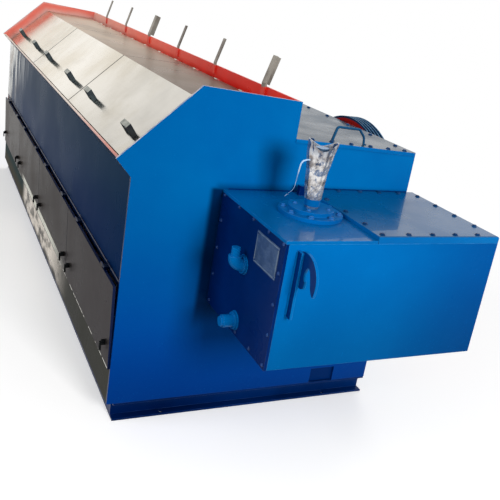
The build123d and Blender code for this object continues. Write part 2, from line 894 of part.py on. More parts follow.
with BuildPart() as pipe_stub:
    with BuildSketch(along_x(-exit_left, exit_mid_y, stub_height)):
        Circle(collar_radius)
    extrude(amount=collar_length)
    with BuildSketch(along_x(-exit_left - collar_length, exit_mid_y, stub_height)):
        Circle(pipe_radius)
    extrude(amount=stub_length - collar_length)
    with BuildSketch(along_x(-exit_left - stub_length, exit_mid_y, stub_height)):
        Circle(plug_radius)
    extrude(amount=plug_length)
save(pipe_stub, "pipe_stub")

# Hook on the gearbox front: an upright bar with a hook blade welded to its side
hook_face = along_x(-hook_left, exit_front_y, hook_top)
with BuildPart() as lifting_hook:
    with BuildSketch(hook_face):
        Rectangle(hook_bar_depth, hook_bar_length, align=(Align.MIN, Align.MAX))
    extrude(amount=-hook_plate)
    with BuildSketch(hook_face.offset(-hook_plate)):
        with BuildLine():
            Spline(*hook_arch)
            Spline(*hook_throat)
            Polyline(*hook_tooth)
        make_face()
    extrude(amount=-hook_plate)
save(lifting_hook, "lifting_hook")

print("lid hinge", round(hinge_x, 2), round(hinge_z, 2))
print("door hinge", round(door_hinge_x, 2), round(door_hinge_z, 2))
print("pulley axis", round(pulley_y, 2), pulley_axis_height, "shaft axis", shaft_x, exit_mid_y)
print("lid length", round(lid_length, 2), "door length", round(door_length, 2))
print("wrap height to", wrap_z + wrap_height)
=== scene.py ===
from math import atan2, cos, pi, radians, sin

import bmesh
import bpy
from mathutils import Matrix, Vector, noise


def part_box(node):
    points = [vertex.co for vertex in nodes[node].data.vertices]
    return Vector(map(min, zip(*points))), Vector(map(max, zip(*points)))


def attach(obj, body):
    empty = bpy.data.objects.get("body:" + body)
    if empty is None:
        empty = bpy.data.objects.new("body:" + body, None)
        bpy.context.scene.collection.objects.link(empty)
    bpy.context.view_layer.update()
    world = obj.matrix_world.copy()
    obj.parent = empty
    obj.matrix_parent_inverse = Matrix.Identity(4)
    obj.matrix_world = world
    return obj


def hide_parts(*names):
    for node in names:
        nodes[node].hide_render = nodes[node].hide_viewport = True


# Wire drawing machine: folded steel hood lids, blue housings and a foil-wrapped exit shaft.
# Metres. X across from the operator's side, Y along with the exit end at -Y, Z up.
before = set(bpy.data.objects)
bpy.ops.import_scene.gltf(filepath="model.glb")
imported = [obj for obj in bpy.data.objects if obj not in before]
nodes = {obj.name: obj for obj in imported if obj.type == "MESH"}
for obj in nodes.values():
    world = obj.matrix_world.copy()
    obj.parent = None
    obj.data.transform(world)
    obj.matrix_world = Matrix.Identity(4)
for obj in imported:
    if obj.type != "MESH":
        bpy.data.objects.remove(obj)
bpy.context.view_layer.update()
scene = bpy.context.scene

# ---------------------------------------------------------------- places of the CAD
TANK_HALF = 1.938                   # inner faces of the end plates, along Y
PLATE_FRONT = -0.728                # x of the end plates' edge where the roof slope starts
PLATE_SHOULDER = 1.149              # and its height
PLATE_TOP = 1.45
ROOF_PITCH, ROOF_COSINE = 0.987, 0.712
ROOF = atan2(0.301, 0.305)
LIDS, LID_LENGTH, LID_PITCH, LID_GAP = (1, 2, 3), 1.284, 1.290, 0.006
LID_START = -TANK_HALF + LID_GAP
LID_EDGE = (-0.663, 1.113)          # x and z of the lids' lower fold
DOORS, DOOR_FOOT = (1, 2, 3, 4), 0.246
COVER_EDGE = (0.010, 1.274)         # x and z where the gear case cover starts to fall
COVER_SLOPE = 0.025 / 0.627
PULLEY_AXIS = (-1.314, 0.826)       # y and z
SHAFT = (-0.035, -2.2385)           # x and y of the upright shaft
BOX_LEFT, BOX_RIGHT = -0.281, 0.676  # exit gearbox
BOX_FRONT, BOX_FOOT = -2.527, 0.55
PLATE_NEAR = -1.952                 # where the gearbox's welds lie on the near plate

# ---------------------------------------------------------------- camera
FOCAL_PIXELS = 700.70
PICTURE = 500.0
PRINCIPAL = (276.30, 225.14)
SENSOR = 36.0
CAMERA_PLACE = Vector((-1.3993, -4.4463, 1.8046))
CAMERA_RIGHT = Vector((0.88645, -0.43158, 0.16716))
CAMERA_AHEAD = Vector((0.46275, 0.83280, -0.30384))


def make_camera():
    data = bpy.data.cameras.new("camera")
    data.sensor_width = SENSOR
    data.lens = FOCAL_PIXELS / PICTURE * SENSOR
    data.shift_x = 0.5 - PRINCIPAL[0] / PICTURE
    data.shift_y = PRINCIPAL[1] / PICTURE - 0.5
    camera = bpy.data.objects.new("camera", data)
    scene.collection.objects.link(camera)
    ahead = CAMERA_AHEAD.normalized()
    right = (CAMERA_RIGHT - ahead * CAMERA_RIGHT.dot(ahead)).normalized()
    turn = Matrix((right, right.cross(ahead), -ahead)).transposed().to_4x4()
    camera.matrix_world = Matrix.Translation(CAMERA_PLACE) @ turn
    scene.camera = camera


make_camera()


# ---------------------------------------------------------------- shader nodes
class Graph:
    """Short calls for the shader nodes of a material or a world."""

    def __init__(self, owner):
        owner.use_nodes = True
        self.tree = owner.node_tree

    def feed(self, socket, value):
        """Links a socket to another, or sets its number, vector or colour."""
        if isinstance(value, bpy.types.NodeSocket):
            self.tree.links.new(value, socket)
        elif socket.type == "RGBA":
            socket.default_value = (*value, 1.0)
        else:
            socket.default_value = value

    def node(self, kind, *values, **inputs):
        """A node whose first inputs are fed in order, and others by name."""
        made = self.tree.nodes.new("ShaderNode" + kind)
        for socket, value in zip(made.inputs, values):
            self.feed(socket, value)
        for name, value in inputs.items():
            self.feed(made.inputs[name.replace("_", " ")], value)
        return made

    def math(self, how, first, *others):
        """An operation on one value, or on several from left to right."""
        for other in others or (0.0,):
            made = self.node("Math", first, other)
            made.operation = how
            first = made.outputs[0]
        return first

    def plus(self, first, second):
        return self.math("ADD", first, second)

    def minus(self, first, second):
        return self.math("SUBTRACT", first, second)

    def times(self, *values):
        return self.math("MULTIPLY", *values)

    def most(self, *values):
        return self.math("MAXIMUM", *values)

    def size(self, value):
        return self.math("ABSOLUTE", value)

    def vector_math(self, how, *vectors):
        made = self.node("VectorMath", *vectors)
        made.operation = how
        return made.outputs["Value"]

    def span(self, value, low, high, start=0.0, end=1.0, curve="SMOOTHSTEP"):
        """A value mapped from low..high to start..end."""
        made = self.node("MapRange", Value=value, From_Min=low, From_Max=high, To_Min=start, To_Max=end)
        made.interpolation_type = curve
        return made.outputs["Result"]

    def mix(self, share, first, second, how="MIX"):
        """The first colour turned towards the second."""
        made = self.node("Mix")
        made.data_type = "RGBA"
        made.blend_type = how
        sockets = [s for s in made.inputs if s.enabled and s.name in ("Factor", "A", "B")]
        for socket, value in zip(sockets, (share, first, second)):
            self.feed(socket, value)
        return next(s for s in made.outputs if s.enabled)


class Finish(Graph):
    """A material on a Principled shader, with the patterns that the finishes share."""

    def __init__(self, name, **settings):
        self.material = bpy.data.materials.new(name)
        super().__init__(self.material)
        self.shader = self.tree.nodes["Principled BSDF"]
        self.place = self.node("TexCoord").outputs["Object"]
        self.set(**settings)

    def set(self, **settings):
        for name, value in settings.items():
            self.feed(self.shader.inputs[name.replace("_", " ")], value)

    def axis(self, letter):
        """A coordinate of the place."""
        return self.node("SeparateXYZ", Vector=self.place).outputs[letter]

    def facing(self, letter):
        """How much the surface looks along an axis."""
        normal = self.node("TexCoord").outputs["Normal"]
        return self.node("SeparateXYZ", Vector=normal).outputs[letter]

    def noise(self, scale, detail=3.0, stretch=None, rough=0.5):
        where = self.place
        if stretch:
            where = self.node("Mapping", Vector=where, Scale=stretch).outputs["Vector"]
        made = self.node("TexNoise", Vector=where, Scale=scale, Detail=detail, Roughness=rough)
        return made.outputs["Fac"]

    def cloud(self, scale, rough=0.6):
        """Large soft patches, 0 to 1."""
        return self.span(self.noise(scale, 4.0, rough=rough), 0.32, 0.68)

    def ragged(self, value, scale, reach, detail=3.0, middle=0.0):
        """A value pushed about by noise, which gives its bands ragged borders."""
        push = self.minus(self.noise(scale, detail), middle)
        return self.plus(value, self.times(push, reach))

    def roughness(self, low, high, scale=5.0, detail=4.0, stretch=None):
        """Lets the roughness wander between two levels."""
        self.set(Roughness=self.span(self.noise(scale, detail, stretch), 0.3, 0.7, low, high))

    def rounded(self, radius):
        """A normal that turns softly over the edges."""
        made = self.node("Bevel", Radius=radius)
        made.samples = 6
        return made.outputs["Normal"]

    def rubbed(self, rounded):
        """Share of rubbed edge: where the rounded normal leaves the flat one."""
        flat = self.node("NewGeometry").outputs["Normal"]
        return self.span(self.vector_math("DOT_PRODUCT", rounded, flat), 0.985, 0.80)

    def bump(self, height, strength, distance, normal=None):
        made = self.node("Bump", Height=height, Strength=strength, Distance=distance)
        if normal is not None:
            self.feed(made.inputs["Normal"], normal)
        self.set(Normal=made.outputs["Normal"])

    def peel(self, scale=240.0, strength=0.05, normal=None):
        """The fine ripple of sprayed paint."""
        self.bump(self.noise(scale, 2.0), strength, 0.0006, normal)


def srgb(red, green, blue):
    """A colour as it shows on a screen, 0 to 255, as the light that a shader wants."""
    return tuple(c / 255 / 12.92 if c <= 10 else ((c / 255 + 0.055) / 1.055) ** 2.4
                 for c in (red, green, blue))


def scaled(tone, gain, lift=0.0):
    return tuple(min(1.0, c * gain + lift) for c in tone)


# ---------------------------------------------------------------- paints
BLUE, BLUE_DARK = srgb(0, 109, 178), srgb(0, 96, 166)
RED, RED_DARK = srgb(214, 52, 38), srgb(186, 34, 26)
BLUE_TINT, RED_TINT = (0.0, 0.3, 0.7), (0.8, 0.3, 0.25)
EDGE_RADIUS = 0.002
HALF_LINE = 0.0015                  # half the width over which a painted line softens


def enamel(name, tone, dark, specular=0.15, tint=BLUE_TINT, rough=0.34, low=None, peel=0.05, worn=None,
           lid=None, coat=0.0, side=None, across=None):
    """Sprayed gloss enamel: cloudy tone, orange peel, dust specks, and edges rubbed to the worn tone.

    low is painted shade, darker towards the bottom: the height of full tone, the height of the darkest and
    the share left there. across is painted shade along X: where it starts to darken, where it ends and the
    share left there. lid is the tone of a polished upper face, painted darker as shade, coat its clear coat,
    and side the tone of faces that look across, painted darker as shade.
    """
    g = Finish(name, Specular_IOR_Level=specular, Specular_Tint=tint, Coat_Roughness=0.02, Coat_IOR=1.5)
    cloud = g.cloud(1.7)
    colour = g.mix(cloud, dark, tone)
    # Painted shade: faces that look across take the darker side tone.
    if side:
        colour = g.mix(g.span(g.size(g.facing("X")), 0.5, 0.9), colour, side)
    # Painted shade: darker towards the bottom.
    if low:
        full, deep, share = low
        colour = g.mix(1.0, colour, g.span(g.axis("Z"), deep, full, share, 1.0), "MULTIPLY")
    # Painted shade: darker along X, and bluer as it darkens.
    if across:
        start, end, share = across
        shaded = (share, share * 0.83, share * 1.04)
        shade_across = g.mix(g.span(g.axis("X"), start, end), (1.0, 1.0, 1.0), shaded)
        colour = g.mix(1.0, colour, shade_across, "MULTIPLY")
    specks = g.span(g.noise(170.0, 2.0), 0.66, 0.78, 0.0, 0.3)
    colour = g.mix(specks, colour, scaled(tone, 1.5, 0.003))
    scuffs = g.span(g.noise(9.0, 6.0, stretch=(1.0, 1.0, 5.0), rough=0.7), 0.66, 0.8, 0.0, 0.22)
    colour = g.mix(scuffs, colour, scaled(tone, 1.25, 0.004))
    # Painted shade: upper faces take the darker lid tone, under their clear coat.
    if lid:
        upward = g.span(g.facing("Z"), 0.4, 0.9)
        colour = g.mix(upward, colour, g.mix(cloud, scaled(lid, 0.9), lid))
        g.set(Coat_Weight=g.times(upward, coat))
    rounded = g.rounded(0.0028)
    patchy = g.times(g.rubbed(rounded), g.span(g.noise(24.0), 0.38, 0.62, 0.1, 0.7))
    g.set(Base_Color=g.mix(patchy, colour, worn or scaled(tone, 1.5, 0.05)))
    g.roughness(rough - 0.07, rough + 0.09)
    g.peel(260.0, peel, rounded)
    return g.material


def polished_cover(name, lid, coat=0.36):
    """Blue enamel whose upper face is polished and smooth, and painted darker as shade."""
    return enamel(name, BLUE, BLUE_DARK, rough=0.25, peel=0.004, lid=lid, coat=coat)


blue = enamel("blue_enamel", BLUE, BLUE_DARK)
# Painted shade on the exit gearbox's front: darker towards the bottom and towards +X.
blue_front = enamel("blue_front_enamel", srgb(0, 110, 184), srgb(0, 102, 175), specular=0.04,
                    low=(1.0, 0.5, 0.66), across=(0.05, 0.72, 0.64), worn=srgb(70, 158, 214))
# Painted shade: the upper faces of the covers and of the flange are darker under their clear coats, the gear
# case cover's darkest.
blue_top = polished_cover("blue_cover_enamel", srgb(0, 90, 152))
blue_raised = polished_cover("blue_raised_enamel", srgb(0, 80, 130))
blue_case_top = polished_cover("blue_case_cover_enamel", srgb(0, 46, 70), coat=0.132)
blue_flange = enamel("blue_flange_enamel", srgb(0, 100, 172), srgb(0, 84, 150),
                     lid=srgb(0, 86, 150), coat=0.9)
# Painted shade: a dark blue for the exit gearbox's side cover, the weld along its top and the lug on its left
# top cover.
blue_shade = enamel("blue_side_shade_enamel", srgb(0, 36, 98), srgb(0, 26, 80), specular=0.1)
# The hook's faces that look across are painted dark as shade.
blue_hook = enamel("blue_hook_enamel", BLUE, BLUE_DARK, side=srgb(0, 44, 108))
# The base frame darkens towards -X as painted shade.
blue_base = enamel("blue_base_enamel", srgb(0, 44, 106), srgb(0, 30, 80), across=(0.62, -0.62, 0.5))
# Near-black navy on the door frame and hinge brackets paints the shade of the recess above the doors.
navy = enamel("navy_shade_enamel", srgb(4, 20, 50), srgb(2, 12, 34))
red = enamel("red_enamel", RED, RED_DARK, tint=RED_TINT, rough=0.3)


def make_wall_red():
    """Back wall: red near the exit end, turning salmon and then pale towards the far end as painted glare."""
    g = Finish("back_wall_enamel", Specular_IOR_Level=0.3, Specular_Tint=RED_TINT)
    colour = g.mix(g.cloud(1.9), srgb(210, 32, 24), srgb(230, 46, 34))
    along = g.ragged(g.axis("Y"), 2.0, 0.5)
    # Painted glare: salmon, then nearly white, towards the far end.
    colour = g.mix(g.span(along, -1.1, 0.9), colour, srgb(242, 104, 84))
    colour = g.mix(g.span(along, 0.5, 2.2), colour, srgb(240, 186, 172))
    # Paler salmon streaks up and down the wall.
    pale_streaks = g.span(g.noise(7.0, 4.0, stretch=(1.0, 3.0, 0.5)), 0.62, 0.74, 0.0, 0.4)
    g.set(Base_Color=g.mix(pale_streaks, colour, srgb(232, 104, 84)))
    g.roughness(0.26, 0.4)
    g.peel(normal=g.rounded(EDGE_RADIUS))
    return g.material


def make_strip_paint():
    """Flat strip on the rim: red at the near end, bleached further off, with a dark outer line."""
    outer_line = -0.72
    g = Finish("rim_strip_enamel", Specular_IOR_Level=0.3, Specular_Tint=RED_TINT)
    far = g.span(g.ragged(g.axis("Y"), 3.0, 0.4), -1.7, -0.6)
    colour = g.mix(far, srgb(216, 134, 118), srgb(238, 224, 210))
    line = g.span(g.axis("X"), outer_line - HALF_LINE, outer_line + HALF_LINE, 1.0, 0.0)
    g.set(Base_Color=g.mix(line, colour, g.mix(far, srgb(176, 112, 98), srgb(134, 116, 106))))
    g.roughness(0.28, 0.42, 8.0)
    g.peel(200.0)
    return g.material


def gearbox_shade(g):
    """Share of shade on the near plate beside, under and above the exit gearbox."""
    half_way_up = 0.6
    height = g.axis("Z")
    off_middle = g.minus(g.axis("X"), (BOX_LEFT + BOX_RIGHT) / 2)
    beside = g.minus(g.size(off_middle), (BOX_RIGHT - BOX_LEFT) / 2)
    at_side = g.times(g.span(beside, 0.066, 0.036), g.span(height, 1.062, 1.04),
                      g.span(height, 0.4, 0.54, 0.0, 0.92))
    under = g.times(g.span(g.minus(BOX_FOOT, height), 0.12, 0.0, 0.0, 0.45),
                    g.span(beside, 0.06, 0.0), g.math("LESS_THAN", height, half_way_up))
    above = g.times(g.span(height, 1.085, 1.045, 0.0, 0.6),
                    g.span(beside, 0.05, 0.01), g.math("GREATER_THAN", height, half_way_up))
    return g.times(g.most(at_side, under, above), g.math("LESS_THAN", g.axis("Y"), 0.0))


def below_roof(g):
    """Distance below the end plates' roof edges."""
    slope = g.times(g.minus(g.axis("X"), PLATE_FRONT), ROOF_PITCH)
    below_slope = g.times(g.minus(g.plus(slope, PLATE_SHOULDER), g.axis("Z")), ROOF_COSINE)
    below_top = g.minus(PLATE_TOP, g.axis("Z"))
    return g.math("MINIMUM", below_slope, below_top)


def make_plate_paint():
    """End plates: blue outside with painted shade, red on the faces that look into the tank with painted
    glare on the far plate, pale sheared roof edges partly as painted highlight.
    """
    g = Finish("end_plate_enamel", Specular_IOR_Level=0.1, Specular_Tint=BLUE_TINT)
    cloud = g.cloud(1.3)
    colour = g.mix(cloud, BLUE_DARK, BLUE)
    # Painted shade: darker towards -X and towards the bottom, and round the exit gearbox.
    colour = g.mix(g.span(g.axis("X"), -0.25, -0.65, 0.0, 0.5), colour, srgb(0, 84, 152))
    height = g.ragged(g.axis("Z"), 1.2, 0.25)
    colour = g.mix(g.span(height, 0.3, 1.25, 1.0, 0.0), colour, srgb(0, 68, 150))
    colour = g.mix(g.span(height, 0.1, 0.55, 1.0, 0.0), colour, srgb(0, 50, 124))
    specks = g.span(g.noise(150.0, 2.0), 0.67, 0.78, 0.0, 0.25)
    colour = g.mix(specks, colour, srgb(20, 130, 200))
    colour = g.mix(gearbox_shade(g), colour, srgb(0, 22, 62))

    inward = g.math("GREATER_THAN", g.times(g.axis("Y"), -1.0, g.facing("Y")), 0.5)
    depth = g.ragged(below_roof(g), 5.0, 0.05, middle=0.5)
    # Painted glare: the far plate's red inner faces turn pink towards the roof edges.
    pink = g.mix(g.span(depth, 0.028, 0.085), srgb(236, 126, 110), srgb(220, 178, 168))
    pink = g.mix(g.span(depth, 0.0, 0.022), srgb(232, 176, 168), pink)
    red_with_painted_glare = g.mix(g.span(g.axis("Y"), 1.0, 1.9), RED, pink)
    colour = g.mix(inward, colour, g.mix(g.times(cloud, 0.25), red_with_painted_glare, RED_DARK))

    # Roof edges pale, part bare sheared edge and part painted highlight; the front edges lower down are
    # painted dark as shade.
    edge = g.span(g.minus(1.0, g.size(g.facing("Y"))), 0.4, 0.6)
    pale = g.mix(g.span(g.noise(30.0), 0.4, 0.6), srgb(146, 158, 184), srgb(200, 196, 204))
    colour = g.mix(g.times(edge, g.span(g.axis("Z"), 1.09, 1.11)), colour, pale)
    shaded = g.times(edge, g.span(g.axis("Z"), 1.09, 1.07), g.span(g.axis("X"), -0.6, -0.65))
    g.set(Base_Color=g.mix(shaded, colour, srgb(0, 26, 72)))
    g.roughness(0.26, 0.42)
    g.peel(normal=g.rounded(EDGE_RADIUS))
    return g.material


def make_case_paint():
    """Gear case: blue sides, painted dark as shade on the faces that look along Y behind the end plates."""
    g = Finish("gear_case_enamel", Specular_IOR_Level=0.1, Specular_Tint=BLUE_TINT)
    colour = g.mix(g.cloud(1.3), BLUE_DARK, BLUE)
    behind_plate = g.span(g.size(g.facing("Y")), 0.5, 0.9)
    g.set(Base_Color=g.mix(behind_plate, colour, srgb(0, 36, 92)))
    g.roughness(0.26, 0.42)
    g.peel(normal=g.rounded(EDGE_RADIUS))
    return g.material


# ---------------------------------------------------------------- metals
BRUSHED_ALONG = (60.0, 0.35, 60.0)
SMEARED_ALONG = (1.0, 0.7, 1.0)
UPRIGHT_LINES = (40.0, 40.0, 2.0)
LID_GRIME = (0.005, 0.002)          # distance from a lid's end where its grime starts and is full


def lid_ends(g):
    """Share of grime along the two ends of each lid."""
    along = g.math("FLOORED_MODULO", g.minus(g.axis("Y"), LID_START), LID_PITCH)
    start, full = LID_GRIME
    return g.most(g.span(along, start, full), g.span(along, LID_LENGTH - start, LID_LENGTH - full))


def make_lid_steel():
    """Polished sheet of the sloping lid faces, cloudy and lightly brushed, paler towards the far end as
    painted reflection, with yellowish marks of smudge and painted reflection.
    """
    g = Finish("lid_steel", Metallic=1.0, Specular_Tint=(0.93, 0.92, 0.9))
    cloud = g.cloud(2.4, rough=0.5)
    near = g.mix(cloud, srgb(178, 176, 170), srgb(214, 210, 202))
    far = g.mix(cloud, srgb(232, 222, 202), srgb(255, 250, 240))
    # Painted reflection: paler towards the far end.
    colour = g.mix(g.span(g.ragged(g.axis("Y"), 1.3, 0.8), -1.6, 0.4), near, far)
    # Yellowish marks: part smudge, part painted reflection.
    smear_and_reflection = g.span(g.noise(3.6, 4.0, SMEARED_ALONG, 0.6), 0.5, 0.72, 0.0, 0.35)
    colour = g.mix(smear_and_reflection, colour, srgb(190, 180, 158))
    lines = g.noise(7.0, 3.0, BRUSHED_ALONG, 0.7)
    colour = g.mix(g.span(lines, 0.35, 0.75, 0.0, 0.1), colour, srgb(180, 176, 168))
    g.set(Base_Color=g.mix(lid_ends(g), colour, srgb(84, 78, 70)))
    g.roughness(0.14, 0.24, 4.0, 5.0, (1.0, 0.5, 1.0))
    g.bump(g.plus(g.noise(3.2, 1.0), g.times(lines, 0.015)), 0.08, 0.003)
    return g.material


def make_lid_top_steel():
    """Duller brownish sheet of the upper lid faces, a tone that paints the reflection of the roof and the red
    wall, paler towards the far end.
    """
    g = Finish("lid_top_painted_reflection", Metallic=1.0, Specular_Tint=(0.62, 0.58, 0.54))
    near = g.span(g.axis("Y"), -1.95, 1.0, 1.0, 0.0)
    colour = g.mix(near, srgb(240, 222, 202), srgb(140, 130, 124))
    # Brownish marks: part smudge, part painted reflection.
    smear_and_reflection = g.span(g.noise(3.0, 5.0, SMEARED_ALONG, 0.6), 0.45, 0.7, 0.0, 0.4)
    colour = g.mix(smear_and_reflection, colour, srgb(150, 138, 124))
    lines = g.noise(7.0, 3.0, BRUSHED_ALONG, 0.7)
    g.set(Base_Color=g.mix(g.span(lines, 0.35, 0.75, 0.0, 0.12), colour, srgb(120, 112, 104)))
    g.roughness(0.26, 0.36, 4.0, 5.0)
    g.bump(g.noise(3.0, 1.0), 0.2, 0.003)
    return g.material


def make_wall_steel():
    """The upper side panel: smooth sheet whose dark blue-grey paints the reflection of dark surroundings,
    with pale streaks of painted reflection towards the far end.
    """
    g = Finish("side_steel", Specular_IOR_Level=0.2, Specular_Tint=(0.32, 0.35, 0.39))
    # The dark blue-grey tone is painted reflection of dark surroundings.
    base = g.mix(g.span(g.axis("Z"), 0.66, 1.1), srgb(34, 56, 96), srgb(62, 72, 88))
    cloud = g.span(g.noise(1.6, 2.0, (1.0, 0.5, 1.0)), 0.35, 0.7, 0.0, 0.4)
    base = g.mix(cloud, base, srgb(60, 68, 90))
    # Pale streaks towards the far end are painted reflection, where the sheet is not metallic.
    along = g.plus(g.axis("Y"), g.times(g.span(g.axis("Z"), 0.65, 1.1), 0.55))
    streaks = g.span(g.noise(3.0, 4.0, (1.0, 3.2, 0.35), 0.65), 0.42, 0.6)
    pale_reflection = g.most(g.times(streaks, g.span(along, 1.15, 2.1)), g.span(along, 1.9, 2.25))
    brown = g.span(g.noise(5.0, 3.0, (1.0, 1.6, 0.8)), 0.5, 0.6)
    pale = g.mix(brown, srgb(255, 254, 246), srgb(146, 130, 114))
    g.set(Base_Color=g.mix(pale_reflection, base, pale), Metallic=g.minus(1.0, g.times(pale_reflection, 0.95)))
    g.roughness(0.26, 0.32, 3.0, 2.0)
    g.bump(g.noise(1.5, 1.0), 0.1, 0.002)
    return g.material


def make_door_steel():
    """Lower doors and kick panel: smooth sheet whose brown-grey tones paint reflections, a seam with painted
    glints, and half way along a bright band of painted reflection that is ragged below; returns painted dark
    as shade."""
    band_near, band_far = (-1.05, -0.4), (0.62, 0.84)
    band_top = 0.2895
    g = Finish("door_steel", Specular_IOR_Level=0.2, Specular_Tint=(0.37, 0.37, 0.375))
    along, height = g.axis("Y"), g.axis("Z")
    below = g.span(height, DOOR_FOOT + HALF_LINE, DOOR_FOOT - HALF_LINE)
    colour = g.mix(g.span(along, -1.9, 1.9), srgb(96, 92, 92), srgb(96, 88, 78))
    colour = g.mix(below, colour, srgb(84, 84, 76))

    # Painted reflection: a bright band half way along, clouded and ragged below.
    mottled = g.times(below, g.span(g.noise(6.0, 5.0, (1.0, 0.8, 1.4), 0.65), 0.5, 0.36))
    clouds = g.minus(1.0, g.times(mottled, 0.8))
    extent = g.times(g.span(along, *band_near), g.span(along, *band_far[::-1]))
    band = g.times(extent, g.span(height, band_top + HALF_LINE, band_top - HALF_LINE))
    depth = g.span(g.ragged(height, 5.0, 0.16, 4.0, middle=0.5), 0.07, 0.12)
    bright = g.times(clouds, band, depth)
    colour = g.mix(bright, colour, g.mix(below, srgb(232, 232, 214), srgb(244, 232, 216)))

    # Painted shade: the returns that look up and towards the exit end are dark.
    turned = g.most(g.span(g.facing("Z"), 0.5, 0.8), g.span(g.facing("Y"), -0.5, -0.8))
    colour = g.mix(turned, colour, srgb(8, 24, 60))
    # Painted glints along the seam above the door foot.
    seam = g.span(g.size(g.minus(height, DOOR_FOOT + 0.003)), 0.0035, 0.002)
    seam_glints = g.span(g.noise(26.0, 3.0, (0.2, 1.0, 0.2)), 0.46, 0.54)
    seam_glints = g.times(seam, seam_glints, g.span(along, 1.6, 0.4))
    colour = g.mix(seam_glints, colour, srgb(226, 224, 214))
    edge = g.times(g.span(g.size(g.minus(height, DOOR_FOOT)), 0.007, 0.005), band)
    colour = g.mix(edge, colour, srgb(40, 34, 28))
    dull = g.times(below, g.span(along, *band_far))
    dull_tone = g.mix(g.span(height, 0.12, 0.2), srgb(88, 86, 78), srgb(68, 80, 80))
    g.set(Base_Color=g.mix(dull, colour, dull_tone))

    painted = g.most(g.times(bright, 0.95, g.minus(1.0, edge)), seam_glints, turned)
    even = g.span(g.noise(3.0), 0.3, 0.7, 0.24, 0.32)
    g.set(Metallic=g.minus(1.0, painted), Roughness=g.plus(even, g.times(dull, 0.45)))
    g.bump(g.noise(1.6, 1.0), 0.12, 0.002)
    return g.material


def make_tank_steel():
    """Tank floor: stained sheet inside, painted dark blue as shade on the ledge that shows above the doors.
    """
    g = Finish("tank_steel")
    stain = g.span(g.noise(14.0, 5.0, rough=0.65), 0.4, 0.68)
    colour = g.mix(stain, srgb(170, 168, 162), srgb(120, 116, 110))
    # The ledge is painted dark blue and not metallic, as shade.
    ledge = g.span(g.axis("X"), -0.655, -0.66)
    g.set(Base_Color=g.mix(ledge, colour, srgb(6, 24, 54)), Metallic=g.minus(0.9, g.times(ledge, 0.9)))
    g.roughness(0.3, 0.48, 12.0, 3.0, (30.0, 1.0, 30.0))
    g.bump(g.noise(30.0), 0.1, 0.0004)
    return g.material


def make_rest_bar():
    """Rest bars: red with the wall behind them, plain rolled steel above it."""
    g = Finish("rest_bar_steel")
    stain = g.span(g.noise(9.0), 0.4, 0.68)
    colour = g.mix(stain, srgb(158, 152, 142), srgb(122, 114, 106))
    sprayed = g.span(g.ragged(g.axis("Z"), 18.0, 0.03), 1.445, 1.435)
    g.set(Base_Color=g.mix(sprayed, colour, RED), Metallic=g.times(g.minus(1.0, sprayed), 0.8))
    g.roughness(0.38, 0.52, 12.0, 3.0, UPRIGHT_LINES)
    g.bump(g.noise(60.0), 0.12, 0.0004, g.rounded(0.0015))
    return g.material


def make_bare_steel(name, light, dark, rough, lines=UPRIGHT_LINES):
    """Machined or rolled bare steel with fine lines and a little staining."""
    g = Finish(name, Metallic=0.9)
    colour = g.mix(g.span(g.noise(14.0, 5.0, rough=0.65), 0.4, 0.68), light, dark)
    fine = g.noise(12.0, 3.0, lines)
    g.set(Base_Color=g.mix(g.span(fine, 0.4, 0.7, 0.0, 0.25), colour, dark),
          Roughness=g.span(fine, 0.3, 0.7, rough - 0.08, rough + 0.1))
    g.bump(fine, 0.12, 0.0004, g.rounded(0.0015))
    return g.material


def make_pulley_iron():
    """Dark navy rim: groove lands painted a pale blue-grey as highlights, the inside of the rim red."""
    land_start, land_full = 0.4465, 0.4492
    inside_start, inside_full = 0.440, 0.437
    g = Finish("pulley_iron", Specular_IOR_Level=0.1, Specular_Tint=(0.2, 0.5, 0.8))
    along, up = (g.minus(g.axis(letter), middle) for letter, middle in zip("YZ", PULLEY_AXIS))
    radius = g.math("SQRT", g.plus(g.times(along, along), g.times(up, up)))
    # Painted highlights on the groove lands.
    rubbed = g.times(g.span(radius, land_start, land_full), g.span(g.noise(40.0), 0.3, 0.6, 0.5, 1.0))
    colour = g.mix(g.span(g.noise(12.0, 4.0), 0.35, 0.65), srgb(12, 32, 60), srgb(22, 54, 88))
    colour = g.mix(rubbed, colour, srgb(76, 120, 156))
    sideways = g.span(g.size(g.facing("X")), 0.7, 0.9)
    inside = g.times(sideways, g.span(radius, inside_start, inside_full))
    g.set(Base_Color=g.mix(inside, colour, srgb(150, 26, 18)))
    g.roughness(0.3, 0.5, 20.0, 3.0)
    g.bump(g.noise(120.0), 0.1, 0.0006)
    return g.material


def make_foil():
    """Crinkled silvery film, partly smudged."""
    g = Finish("crinkled_foil", Metallic=0.85)
    smudge = g.span(g.noise(26.0, 4.0, rough=0.6), 0.4, 0.66)
    colour = g.mix(smudge, srgb(236, 234, 232), srgb(140, 134, 132))
    mouth = g.span(g.axis("Z"), 1.255, 1.315, 0.0, 0.75)
    g.set(Base_Color=g.mix(mouth, colour, g.mix(smudge, srgb(136, 150, 166), srgb(124, 106, 102))))
    g.roughness(0.14, 0.3, 40.0, 2.0)
    g.bump(g.noise(80.0, 4.0, (1.0, 1.0, 0.4), 0.6), 0.3, 0.0016)
    return g.material


def make_nameplate():
    """Bare plate of thin aluminium, brushed along its length, toned down with darker blue patches as painted
    shade.
    """
    g = Finish("nameplate_metal", Metallic=0.7)
    fine = g.noise(20.0, 3.0, (1.0, 2.0, 60.0))
    colour = g.mix(g.span(fine, 0.3, 0.7), srgb(72, 98, 132), srgb(104, 126, 150))
    # Darker blue patches, painted shade.
    shade_patches = g.span(g.noise(28.0), 0.4, 0.65, 0.0, 0.5)
    g.set(Base_Color=g.mix(shade_patches, colour, srgb(44, 72, 108)), Roughness=g.span(fine, 0.3, 0.7, 0.3, 0.45))
    g.bump(fine, 0.1, 0.0003)
    return g.material


